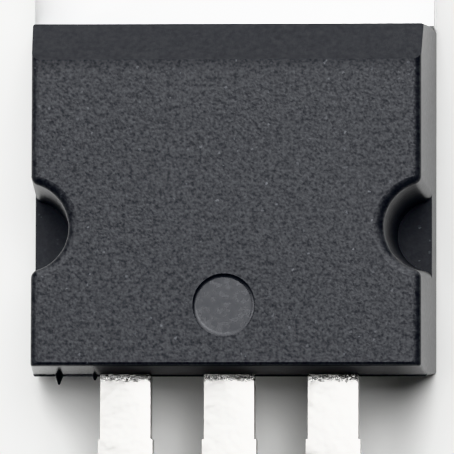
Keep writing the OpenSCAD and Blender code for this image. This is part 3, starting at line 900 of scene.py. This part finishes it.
# %% [markdown]
# ## Header and leads
#
# These are stamped, so each face is flat and each edge is a little rounded by the punch. The CAD
# solids have the right form, so a merged copy of each one is enough, with a small bevel modifier.
# The header and its centre lead are one stamping. All three are nickel-plated, and what sticks out
# at the lead end is tinned too. So each copy is cut across 0.3 mm inside the wall, and its faces
# change material there.

# %% Stamped pieces
PUNCH_R = 0.05
PUNCH_SEGMENTS = 3
PUNCH_EDGE = math.radians(35)
CAD_WELD_MM = 0.0002
CAD_FLAT = math.radians(0.5)
TIN_FROM = BODY_END + 0.3


def stamped_copy(node, name):
    """A merged copy of a CAD node with its edges rounded by the punch, tinned past the moulding."""
    bm = bmesh.new()
    bm.from_mesh(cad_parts[node].data)
    bmesh.ops.remove_doubles(bm, verts=bm.verts, dist=CAD_WELD_MM * MM)
    bmesh.ops.dissolve_limit(bm, angle_limit=CAD_FLAT, verts=bm.verts, edges=bm.edges)
    bmesh.ops.bisect_plane(bm, geom=bm.verts[:] + bm.edges[:] + bm.faces[:], dist=ON_PLANE_MM * MM,
                           plane_co=(0, TIN_FROM * MM, 0), plane_no=(0, 1, 0))
    piece = make_mesh(name, [], [], [nickel_plate, tin_dip])
    for face in bm.faces:
        face.smooth = True
        face.material_index = 1 if face.calc_center_median().y < TIN_FROM * MM else 0
    bm.to_mesh(piece.data)
    rounding = piece.modifiers.new("punch_rounding", "BEVEL")
    rounding.width = PUNCH_R * MM
    rounding.segments = PUNCH_SEGMENTS
    rounding.limit_method = "ANGLE"
    rounding.angle_limit = PUNCH_EDGE
    rounding.harden_normals = True
    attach(piece, "root")
    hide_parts(node)
    print(name, "has", len(piece.data.polygons), "faces")
    return piece


header = stamped_copy("header", "stamped_header")
for node, name in (("base_lead", "stamped_base_lead"), ("emitter_lead", "stamped_emitter_lead")):
    stamped_copy(node, name)

# %% [markdown]
# The tin ends in a ragged, beaded border where each lead leaves the moulding. A Geometry Nodes tree
# scatters small flattened beads over three narrow strips at the roots, with a fixed seed. Beads set
# by hand would look placed, and a bump alone leaves the border flat when it is seen from the side.

# %% The bead tree
BEAD_LEAST = (0.4, 0.4, 0.3)
BEAD_MOST = (1.3, 1, 0.8)
scatter, given = new_tree("beads_on_strips", [
    ("Density", "NodeSocketFloat"), ("Bead radius", "NodeSocketFloat"), ("Seed", "NodeSocketInt")])
points = add_node(scatter, "GeometryNodeDistributePointsOnFaces", None,
                  {"Mesh": given["Geometry"], "Density": given["Density"], "Seed": given["Seed"]})
bead = add_node(scatter, "GeometryNodeMeshIcoSphere", None,
                {"Radius": given["Bead radius"], "Subdivisions": 2})
bead_scale = add_node(scatter, "FunctionNodeRandomValue", {"data_type": "FLOAT_VECTOR"},
                      {0: BEAD_LEAST, 1: BEAD_MOST, "Seed": given["Seed"]})
placed = add_node(scatter, "GeometryNodeInstanceOnPoints", None,
                  {"Points": points.outputs["Points"], "Instance": bead.outputs["Mesh"],
                   "Scale": bead_scale.outputs[0]})
real = add_node(scatter, "GeometryNodeRealizeInstances", None, {"Geometry": placed})
tinned = add_node(scatter, "GeometryNodeSetMaterial", None, {"Geometry": real, "Material": tin_dip})
add_node(scatter, "NodeGroupOutput", None, {0: tinned})
print("bead tree:", len(scatter.nodes), "nodes")

# %% Beads at the three roots
PITCH = 2.54
ROOT_W = 1.25
LEAD_TOP = LEAD_Z + LEAD_T
BEAD_R = 0.034
BEADS_PER_MM2 = 90
BEAD_STRIP = 0.17
BEAD_SEED = 4
BEAD_VERTS = 42
strip_verts, strip_faces = [], []
for k in (-1, 0, 1):
    left, right = k * PITCH - ROOT_W / 2 + BEAD_R, k * PITCH + ROOT_W / 2 - BEAD_R
    strip_faces.append(tuple(range(len(strip_verts), len(strip_verts) + 4)))
    strip_verts += [(left, BODY_END - BEAD_STRIP, LEAD_TOP), (right, BODY_END - BEAD_STRIP, LEAD_TOP),
                    (right, BODY_END, LEAD_TOP), (left, BODY_END, LEAD_TOP)]
tin_beads = make_mesh("tin_beads", [Vector(v) * MM for v in strip_verts], strip_faces)
tin_beads.data = run_tree(tin_beads, scatter, {
    "Density": BEADS_PER_MM2 / MM ** 2, "Bead radius": BEAD_R * MM, "Seed": BEAD_SEED})
tin_beads.data.polygons.foreach_set("use_smooth", [True] * len(tin_beads.data.polygons))
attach(tin_beads, "root")
print("beads:", len(tin_beads.data.vertices) // BEAD_VERTS, "with", len(tin_beads.data.polygons), "faces")

# %% [markdown]
# ## Inner pieces
#
# The chip, its solder and the bond wires can't be seen. They keep their CAD meshes, which have the
# right form already, and only get their materials.

# %% Inner pieces keep their CAD meshes
def coat(node, material):
    """Gives a CAD node its material."""
    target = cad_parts[node].data.materials
    target.clear()
    target.append(material)
    print(node, "is", material.name)


coat("die", silicon)
coat("die_solder", die_solder)
for node in ("base_wire", "emitter_wire_left", "emitter_wire_right"):
    coat(node, aluminium_wire)
